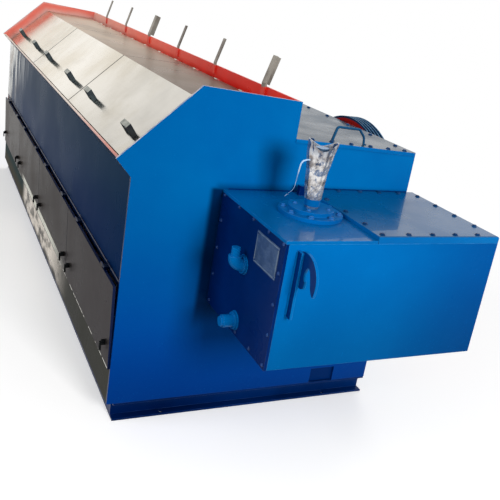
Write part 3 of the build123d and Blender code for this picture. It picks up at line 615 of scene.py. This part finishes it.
def make_plain(name, light, dark, rough, metallic=0.0, specular=0.4):
    """A small part's plain finish, a little uneven in tone and gloss."""
    g = Finish(name, Metallic=metallic, Specular_IOR_Level=specular)
    g.set(Base_Color=g.mix(g.span(g.noise(30.0, 4.0), 0.35, 0.65), light, dark))
    g.roughness(rough - 0.06, rough + 0.08, 60.0, 3.0)
    g.bump(g.noise(150.0), 0.1, 0.0005, g.rounded(0.0012))
    return g.material


drum_steel = make_bare_steel("drum_steel", srgb(190, 190, 188), srgb(140, 138, 134), 0.3, (2.0, 60.0, 60.0))
shaft_steel = make_bare_steel("shaft_steel", srgb(130, 164, 196), srgb(70, 112, 156), 0.3)
plate_paint = make_plate_paint()
lid_steel = make_lid_steel()
lid_top_painted_reflection = make_lid_top_steel()
door_steel = make_door_steel()
foil = make_foil()
plate_edge = make_plain("nameplate_edge", srgb(150, 164, 176), srgb(110, 128, 146), 0.35, metallic=0.4)
# Handle finishes: a dark tone that paints the shade of their sides and a pale one that paints the highlight
# on their tops.
handle_dark = make_plain("handle_shaded_side", srgb(62, 74, 78), srgb(40, 48, 56), 0.4, metallic=0.3)
handle_cap_highlight = make_plain("handle_cap_highlight", srgb(156, 158, 148), srgb(122, 126, 118), 0.35, metallic=0.4)
film = make_plain("film", srgb(196, 216, 236), srgb(140, 180, 220), 0.25, specular=0.6)
latch_black = make_plain("latch_black", srgb(14, 18, 20), srgb(6, 8, 10), 0.6, specular=0.1)
bolt_blue = enamel("bolt_enamel", srgb(14, 100, 172), srgb(6, 78, 144), specular=0.5,
                   tint=(0.5, 0.8, 1.0), rough=0.25)
bolt_dark = enamel("dark_bolt_enamel", srgb(8, 58, 106), srgb(4, 42, 84), tint=(0.3, 0.6, 0.8), rough=0.28)
# Bolts and rivets on the gearbox's shaded side: blue darkened as painted shade, yet paler than the cover
# round them as a painted highlight.
bolt_pale = enamel("pale_bolt_enamel", srgb(34, 70, 128), srgb(16, 46, 104), tint=(1.0, 1.0, 1.0), rough=0.25)
hoop_paint = enamel("hoop_enamel", srgb(30, 84, 122), srgb(18, 60, 96))

FINISHES = {
    "base_frame": blue_base, "near_end_plate": plate_paint, "far_end_plate": plate_paint,
    "tank_front_wall": make_wall_steel(), "rim_strip": make_strip_paint(),
    "tank_floor": make_tank_steel(), "tank_back_wall": make_wall_red(),
    "gear_case": make_case_paint(), "gear_case_cover": blue_case_top, "gear_case_hoop": hoop_paint,
    "lid_hinge_brackets": red, "lid_rest_bars": make_rest_bar(),
    "door_frame": navy, "kick_panel": door_steel, "door_hinge_brackets": navy,
    "capstans": drum_steel, "die_holders": drum_steel,
    "exit_gearbox": blue_front, "exit_side_cover": blue_shade,
    "exit_top_cover_left": blue_top, "exit_top_cover_right": blue_raised,
    "shaft_flange": blue_flange, "nameplate": make_nameplate(),
    "pipe_elbow": blue, "pipe_stub": blue, "lifting_hook": blue_hook,
    "drive_pulley_rim": make_pulley_iron(), "drive_pulley_web": red,
    "input_shaft": drum_steel, "output_shaft": shaft_steel,
}
FINISHES |= {f"lid_{index}": lid_steel for index in LIDS}
FINISHES |= {f"lower_door_{index}": door_steel for index in DOORS}
FINISHES |= {f"door_latches_{index}": latch_black for index in DOORS}
for name, finish in FINISHES.items():
    mesh = nodes[name].data
    mesh.materials.clear()
    mesh.materials.append(finish)


def finish_faces(name, finish, chosen):
    """Gives some faces of a CAD node a second finish."""
    mesh = nodes[name].data
    mesh.materials.append(finish)
    for face in mesh.polygons:
        if chosen(face):
            face.material_index = 1


def faces_up(face):
    return face.normal.z > 0.9


def on_lug(face):
    """Walls of the small lug on the left top cover."""
    return face.center.y > -2.012 and face.center.z > 1.049 and not faces_up(face)


# The lug's walls take the dark blue of painted shade.
finish_faces("exit_top_cover_left", blue_shade, on_lug)
# The lids' upper faces take the duller brownish steel that paints their reflection of the roof and the red
# wall.
for index in LIDS:
    finish_faces(f"lid_{index}", lid_top_painted_reflection, faces_up)


# ---------------------------------------------------------------- mesh helpers
def piece(name, bm, body, slot, *finishes, smooth=True, sharp=35.0):
    """Puts a finished mesh in the scene, riding on its body."""
    mesh = bpy.data.meshes.new(name)
    bm.normal_update()
    bm.to_mesh(mesh)
    bm.free()
    for finish in finishes:
        mesh.materials.append(finish)
    for face in mesh.polygons:
        face.use_smooth = smooth
    if smooth:
        mesh.set_sharp_from_angle(angle=radians(sharp))
    made = bpy.data.objects.new(name, mesh)
    scene.collection.objects.link(made)
    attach(made, body)
    return made


def turned_to(direction):
    """The turn that takes Z to a direction."""
    return Vector((0, 0, 1)).rotation_difference(Vector(direction)).to_matrix()


def round_points(radius, count, start=0.0, closed=False):
    """Points evenly round a circle, with the first again at the end where it is closed."""
    angles = (start + 2 * pi * step / count for step in range(count + closed))
    return [(radius * cos(angle), radius * sin(angle)) for angle in angles]


def ring(bm, place, turn, radius, height, count, start=0.0):
    """One ring of vertices round a local axis."""
    return [bm.verts.new(place + turn @ Vector((x, y, height)))
            for x, y in round_points(radius, count, start)]


def skin(bm, rings, close_start=True, close_end=True):
    """Quads between following rings, with caps."""
    for low, high in zip(rings, rings[1:]):
        count = len(low)
        for step in range(count):
            after = (step + 1) % count
            bm.faces.new((low[step], low[after], high[after], high[step]))
    if close_start:
        bm.faces.new(rings[0][::-1])
    if close_end:
        bm.faces.new(rings[-1])


def lathe(bm, place, turn, profile, count, start=0.0, close_start=False):
    """A turned form from the radii and heights of its profile."""
    rings = [ring(bm, place, turn, radius, height, count, start) for radius, height in profile]
    skin(bm, rings, close_start)


def heading(points, index):
    """Direction of a line at one of its points."""
    return points[min(index + 1, len(points) - 1)] - points[max(index - 1, 0)]


def add_bolt(bm, place, up, size=0.0085, head=0.0065, turn_by=0.0):
    """A hexagon head with a chamfered top on a round washer."""
    place, turn = Vector(place), turned_to(up)
    washer, seat = size * 1.35, 0.002
    lathe(bm, place, turn, [(washer, 0.0), (washer, 0.0014), (washer * 0.93, seat)], 16)
    profile = [(size, seat), (size, head * 0.82), (size * 0.84, head), (size * 0.5, head * 1.02)]
    lathe(bm, place, turn, profile, 6, turn_by)


def add_dome(bm, place, up, radius, height):
    """A round rivet or button head."""
    angles = [step / 4 * pi / 2 for step in range(4)]
    profile = [(radius * cos(angle), height * sin(angle)) for angle in angles]
    lathe(bm, Vector(place), turned_to(up), profile, 12)


def bolts(name, finish, places, up, **sizes):
    """A group of bolts, each turned a little further than the one before."""
    bm = bmesh.new()
    for index, place in enumerate(places):
        add_bolt(bm, place, up, turn_by=index * 0.83, **sizes)
    piece(name, bm, "machine", "blue_paint", finish)


def bead(name, path, radius, finish, seed=0.0):
    """A weld bead: a lumpy low ridge along a line."""
    ripple = 0.006
    path = [Vector(point) for point in path]
    points = []
    for start, end in zip(path, path[1:]):
        steps = max(2, int((end - start).length / ripple))
        points += [start.lerp(end, step / steps) for step in range(steps)]
    points.append(path[-1])
    bm = bmesh.new()
    rings = []
    for index, point in enumerate(points):
        turn = turned_to(heading(points, index).normalized())
        lump = 0.85 + 0.3 * abs(sin(index * 1.3 + seed)) + 0.2 * noise.noise(point * 60.0)
        rings.append(ring(bm, point, turn, radius * lump, 0.0, 8))
    skin(bm, rings)
    piece(name, bm, "machine", "blue_paint", finish, sharp=80.0)


# ---------------------------------------------------------------- bolts
def cover_top(x):
    """Height of the gear case cover, which falls away from the tank."""
    return COVER_EDGE[1] - (x - COVER_EDGE[0]) * COVER_SLOPE


def cover_bolts():
    """Along the gear case cover's near, far and right edges."""
    end_row, side_row, side_pitch = 1.926, 0.606, 0.2153
    across = (0.100, 0.196, 0.298, 0.400, 0.498, 0.590)
    ends = [(x, y, cover_top(x)) for y in (-end_row, end_row) for x in across]
    side = [(side_row, -1.830 + side_pitch * step, cover_top(side_row)) for step in range(18)]
    bolts("cover_bolts", bolt_dark, ends + side, (COVER_SLOPE, 0, 1))


def gearbox_bolts():
    """Round the exit gearbox's top covers and its side cover."""
    top = 1.063
    right = [(0.650, y, top) for y in (-2.016, -2.148, -2.278, -2.405)]
    front = [(x, -2.506, top) for x in (0.120, 0.241, 0.353, 0.464, 0.578)]
    seam = [(0.117, y, top) for y in (-2.100, -2.252, -2.392)]
    back = [(x, -1.974, top) for x in (0.140, 0.248, 0.362, 0.464, 0.570)]
    bolts("exit_top_bolts", bolt_dark, right + front + seam + back, (0, 0, 1))
    columns = (-1.974, -2.124, -2.259, -2.392, -2.511)
    rows = [(BOX_LEFT, y, z) for y in columns for z in (1.029, 0.566)]
    ends = [(BOX_LEFT, y, z) for y in (columns[0], columns[-1]) for z in (0.922, 0.804, 0.686)]
    bolts("exit_side_bolts", bolt_pale, rows + ends, (-1, 0, 0), size=0.0055, head=0.0055)


def flange_bolts():
    """Eight round the bearing flange's lower step and four in its boss."""
    for name, radius, count, start, height, size, head in (
            ("flange_bolts", 0.108, 8, 0.3, 1.062, 0.009, 0.0085),
            ("boss_bolts", 0.066, 4, 0.9, 1.077, 0.007, 0.006)):
        places = [(SHAFT[0] + x, SHAFT[1] + y, height) for x, y in round_points(radius, count, start)]
        bolts(name, bolt_blue, places, (0, 0, 1), size=size, head=head)


cover_bolts()
gearbox_bolts()
flange_bolts()


# ---------------------------------------------------------------- nameplate
def nameplate_trim():
    """Four rivets and a raised border on the bare plate."""
    rivet_inset, border_inset, border_width, border_rise = 0.009, 0.004, 0.003, 0.0006
    low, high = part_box("nameplate")
    bm = bmesh.new()
    for y in (low.y + rivet_inset, high.y - rivet_inset):
        for z in (low.z + rivet_inset, high.z - rivet_inset):
            add_dome(bm, (low.x, y, z), (-1, 0, 0), 0.004, 0.0025)
    piece("nameplate_rivets", bm, "machine", "nameplate", bolt_pale)

    bm = bmesh.new()
    loops = []
    inner = border_inset + border_width
    for inset, rise in ((border_inset, 0.0), (border_inset, border_rise), (inner, border_rise), (inner, 0.0)):
        left, right, foot, top = low.y + inset, high.y - inset, low.z + inset, high.z - inset
        corners = ((left, foot), (right, foot), (right, top), (left, top))
        loops.append([bm.verts.new((low.x - rise, y, z)) for y, z in corners])
    skin(bm, loops[::-1], False, False)
    piece("nameplate_border", bm, "machine", "nameplate", plate_edge, smooth=False)


nameplate_trim()

# ---------------------------------------------------------------- lid handles
HANDLE = (0.098, 0.026, 0.057, 0.008)  # length, width, height, thickness of its legs and bar
HANDLE_PLACE = 0.095                # up the slope from the lid's lower fold
HANDLE_SPREAD = 0.29                # from the lid's middle, as a share of its length
HANDLE_STANCE = ROOF - radians(9.0)


def add_handle(bm, middle):
    """A bridge handle with its foot on the sloping sheet: two legs and a bar, whose top is pale as a painted
    highlight and whose other faces are dark as painted shade.
    """
    length, width, height, bar = HANDLE
    half, clear = length / 2, height - bar
    slope = Vector((cos(ROOF), 0, sin(ROOF)))
    foot = Vector((LID_EDGE[0], middle, LID_EDGE[1])) + slope * HANDLE_PLACE
    along, up = Vector((0, 1, 0)), Vector((-sin(HANDLE_STANCE), 0, cos(HANDLE_STANCE)))
    outline = [(-half, 0), (-half, height), (half, height), (half, 0),
               (half - bar, 0), (half - bar, clear), (bar - half, clear), (bar - half, 0)]
    near, far = [[bm.verts.new(foot + slope * side + along * a + up * b) for a, b in outline]
                 for side in (-width / 2, width / 2)]
    for step in range(8):
        after = (step + 1) % 8
        face = bm.faces.new((near[step], near[after], far[after], far[step]))
        # The bar's top gets the pale painted highlight, the other faces the dark painted shade.
        face.material_index = 1 if step == 1 else 0
    for corners in ((0, 1, 6, 7), (1, 2, 5, 6), (2, 3, 4, 5)):
        bm.faces.new([near[c] for c in corners][::-1])
        bm.faces.new([far[c] for c in corners])


def lid_handles():
    for index in LIDS:
        bm = bmesh.new()
        middle = LID_START + LID_LENGTH / 2 + (index - 1) * LID_PITCH
        for side in (-1, 1):
            add_handle(bm, middle + side * HANDLE_SPREAD * LID_LENGTH)
        bmesh.ops.recalc_face_normals(bm, faces=bm.faces)
        handles = piece(f"handles_{index}", bm, f"hood_lid_{index}", "dark_handle", handle_dark, handle_cap_highlight)
        rounding = handles.modifiers.new("rounding", "BEVEL")
        rounding.width = 0.0018
        rounding.segments = 2
        rounding.limit_method = "ANGLE"
        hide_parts(f"lid_handles_{index}")


lid_handles()

# ---------------------------------------------------------------- foil, collar and film strip
WRAP_FOOT, WRAP_TOP = 1.083, 1.341
COLLAR_TOP = 1.110
FOIL_AROUND, FOIL_STEPS, LINING_STEPS = 150, 96, 24
FOIL_WAIST = 0.55                   # share of the height where the mouth starts to flare
MOUTH_PEAK = atan2(CAMERA_RIGHT.y, CAMERA_RIGHT.x)  # the way that the torn mouth's peaks point
FILM_WIDTH, FILM_TWIST, FILM_STEPS = 0.0055, 2.2, 8
FILM_LINE = [(-0.076, -2.250, 1.262), (-0.100, -2.250, 1.262), (-0.119, -2.250, 1.250),
             (-0.1234, -2.246, 1.2127), (-0.1247, -2.242, 1.1765), (-0.1272, -2.238, 1.1458),
             (-0.141, -2.234, 1.128), (-0.154, -2.230, 1.112)]


def foil_radius(share):
    """Radius of the wrapping at a share of its height, before its creases."""
    if share < FOIL_WAIST:
        return 0.030 + 0.007 * share / FOIL_WAIST
    rise = (share - FOIL_WAIST) / (1.0 - FOIL_WAIST)
    return 0.037 + 0.021 * rise ** 0.9


def foil_point(angle, share, shrink):
    """A point of the wrapping, which is slack on one side, creased, and snug inside the collar."""
    peak = cos(angle - MOUTH_PEAK)
    top = WRAP_TOP - 0.004 - 0.032 * (1.0 - abs(peak) ** 1.5)
    height = WRAP_FOOT + (top - WRAP_FOOT) * share
    spot = Vector((cos(angle) * 2.6, sin(angle) * 2.6, height * 30.0))
    crease = noise.ridged_multi_fractal(spot, 0.9, 2.1, 4, 1.0, 2.0, noise_basis="PERLIN_ORIGINAL")
    fold = noise.noise(Vector((cos(angle) * 3.1, sin(angle) * 3.1, height * 12.0)))
    radius = foil_radius(share) * shrink
    radius += 0.009 * max(0.0, -peak) * sin(pi * share)
    radius += 0.0009 * (crease - 1.2) + 0.0035 * fold * (0.3 + share)
    radius = 0.0275 if height < COLLAR_TOP else min(max(radius, 0.0285), 0.0615)
    return SHAFT[0] + radius * cos(angle), SHAFT[1] + radius * sin(angle), height


def foil_wrap():
    """Foil round the upright shaft: a crinkled tube with a flared open mouth and a lining inside it."""
    outer = [(step / FOIL_STEPS, 1.0) for step in range(FOIL_STEPS + 1)]
    depths = [step / LINING_STEPS for step in range(1, LINING_STEPS + 1)]
    lining = [(1.0 - 0.32 * depth, 0.93 - 0.1 * depth) for depth in depths]
    angles = [2 * pi * step / FOIL_AROUND for step in range(FOIL_AROUND)]
    bm = bmesh.new()
    rings = [[bm.verts.new(foil_point(angle, share, shrink)) for angle in angles]
             for share, shrink in outer + lining]
    skin(bm, rings, close_start=False, close_end=False)
    wrap = piece("foil_wrap", bm, "exit_shaft", "foil", foil, sharp=24.0)
    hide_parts("shaft_wrap")


def shaft_collar():
    """A thin painted collar round the foil's foot."""
    inner, outer = 0.0290, 0.0302
    profile = [(inner, WRAP_FOOT), (outer, WRAP_FOOT + 0.0012),
               (outer, COLLAR_TOP - 0.001), (inner, COLLAR_TOP + 0.0004)]
    bm = bmesh.new()
    lathe(bm, Vector((*SHAFT, 0.0)), Matrix.Identity(3), profile, 48, close_start=True)
    piece("shaft_collar", bm, "exit_shaft", "blue_paint", blue_flange)


def smooth_line(points, steps):
    """A Catmull-Rom line through points."""
    points = [Vector(point) for point in points]
    line = []
    for index, (start, end) in enumerate(zip(points, points[1:])):
        before, after = points[max(index - 1, 0)], points[min(index + 2, len(points) - 1)]
        for t in (step / steps for step in range(steps)):
            line.append(0.5 * (2 * start + (end - before) * t
                               + (2 * before - 5 * start + 4 * end - after) * t ** 2
                               + (3 * start - before - 3 * end + after) * t ** 3))
    return line + [points[-1]]


def foil_tail():
    """A narrow strip of film that hangs from the foil and twists as it falls."""
    line = smooth_line(FILM_LINE, FILM_STEPS)
    bm = bmesh.new()
    rows = []
    for index, point in enumerate(line):
        ahead = heading(line, index).normalized()
        twist = Matrix.Rotation(FILM_TWIST * index / len(line), 3, ahead)
        across = twist @ ahead.cross(Vector((0.4, 1, 0.1))).normalized()
        half = across * FILM_WIDTH / 2 * (1.0 - 0.35 * noise.noise(point * 45.0))
        thick = ahead.cross(across).normalized() * 0.0003
        corners = (-half - thick, half - thick, half + thick, thick - half)
        rows.append([bm.verts.new(point + corner) for corner in corners])
    skin(bm, rows)
    piece("foil_tail", bm, "exit_shaft", "foil", film, sharp=60.0)


foil_wrap()
shaft_collar()
foil_tail()


# ---------------------------------------------------------------- weld beads
def weld_beads():
    """At the hook, round the gearbox's end, at the hoop's feet and round the pipe ends."""
    hook, hoop_y, hoop_reach, pipe_radius = -0.233, -1.898, 0.008, 0.036
    bead("hook_weld_left", [(hook - 0.001, BOX_FRONT - 0.001, z) for z in (0.770, 1.010)], 0.0038, blue)
    bead("hook_weld_foot", [(hook + x, BOX_FRONT - 0.003, 0.764) for x in (-0.002, 0.010)], 0.0045, blue)
    bead("box_weld_left", [(-0.269, PLATE_NEAR + 0.0005, z) for z in (0.556, 1.03)], 0.004, blue, 2.0)
    # The weld along the gearbox's top at the plate takes the dark blue of painted shade.
    bead("box_weld_top", [(x, PLATE_NEAR, 1.0475) for x in (-0.26, 0.09)], 0.0035, blue_shade, 1.0)
    bead("box_weld_raised", [(x, PLATE_NEAR, 1.0635) for x in (0.10, 0.63)], 0.003, blue_base, 1.0)
    diamond = [(-hoop_reach, 0), (0, hoop_reach), (hoop_reach, 0), (0, -hoop_reach), (-hoop_reach, 0)]
    for number, x in enumerate((0.217, 0.385), 1):
        foot = cover_top(x) + 0.0005
        path = [(x + across, hoop_y + along, foot) for across, along in diamond]
        bead(f"hoop_weld_{number}", path, 0.0028, hoop_paint)
    circle = round_points(pipe_radius, 20, closed=True)
    for name, height in (("elbow_weld", 0.84), ("stub_weld", 0.605)):
        path = [(BOX_LEFT - 0.0005, SHAFT[1] + along, height + up) for along, up in circle]
        bead(name, path, 0.003, blue)


weld_beads()


# ---------------------------------------------------------------- floor and light
def make_floor():
    """A pale floor: it fades to white for the camera and in gloss, and is a dim grey to other light.

    It is darker under the machine, whose open bays would otherwise shine.
    """
    reach, height = 60.0, -0.0005
    sides = ((-1, -1), (1, -1), (1, 1), (-1, 1))
    corners = [(x * reach, y * reach, height) for x, y in sides]
    mesh = bpy.data.meshes.new("floor")
    mesh.from_pydata(corners, [], [(0, 1, 2, 3)])
    floor = bpy.data.objects.new("floor", mesh)
    scene.collection.objects.link(floor)

    g = Finish("floor", Base_Color=(0.8, 0.8, 0.8), Roughness=1.0, Specular_IOR_Level=0.0)
    clear = [g.span(g.size(g.axis(letter)), edge, edge + 0.03, curve="LINEAR")
             for letter, edge in (("X", 0.60), ("Y", 1.92))]
    glow = g.node("Emission", Strength=g.times(g.most(*clear), 0.35))
    lit = g.node("AddShader", g.shader.outputs[0], glow.outputs[0])
    fade = g.span(g.vector_math("LENGTH", g.place), 2.6, 4.6)
    pale = g.node("MixShader", fade, lit.outputs[0], g.node("Emission").outputs[0])
    rays = g.node("LightPath").outputs
    seen = g.most(rays["Is Camera Ray"], rays["Is Glossy Ray"])
    dim = g.node("BsdfDiffuse", Color=(0.30, 0.30, 0.30))
    shown = g.node("MixShader", seen, dim.outputs[0], pale.outputs[0])
    g.feed(g.tree.nodes["Material Output"].inputs["Surface"], shown.outputs[0])
    mesh.materials.append(g.material)


def make_world(ambient):
    """White for the camera, in gloss and through glass, and a softer ambient light elsewhere."""
    world = bpy.data.worlds.new("studio")
    scene.world = world
    g = Graph(world)
    rays = g.node("LightPath").outputs
    seen = g.most(*(rays[f"Is {kind} Ray"] for kind in ("Camera", "Glossy", "Transmission")))
    background = g.tree.nodes["Background"].inputs
    g.feed(background["Color"], (1.0, 1.0, 1.0))
    g.feed(background["Strength"], g.span(seen, 0.0, 1.0, ambient, 1.0, curve="LINEAR"))


def make_lamp(name, place, target, size, power):
    data = bpy.data.lights.new(name, "AREA")
    data.shape = "SQUARE"
    data.size = size
    data.energy = power
    lamp = bpy.data.objects.new(name, data)
    scene.collection.objects.link(lamp)
    lamp.location = place
    lamp.rotation_mode = "QUATERNION"
    lamp.rotation_quaternion = (Vector(target) - Vector(place)).to_track_quat("-Z", "Y")
    lamp.visible_glossy = False


make_floor()
make_world(0.42)
make_lamp("key", (0.5, -8.5, 3.4), (0.0, -1.8, 0.9), 2.0, 386.0)
make_lamp("left", (-7.0, -1.5, 4.5), (-0.4, 0.0, 0.7), 4.0, 240.0)
make_lamp("back", (5.0, 6.0, 5.0), (0.0, 0.0, 0.7), 4.0, 260.0)

scene.view_settings.view_transform = "Standard"
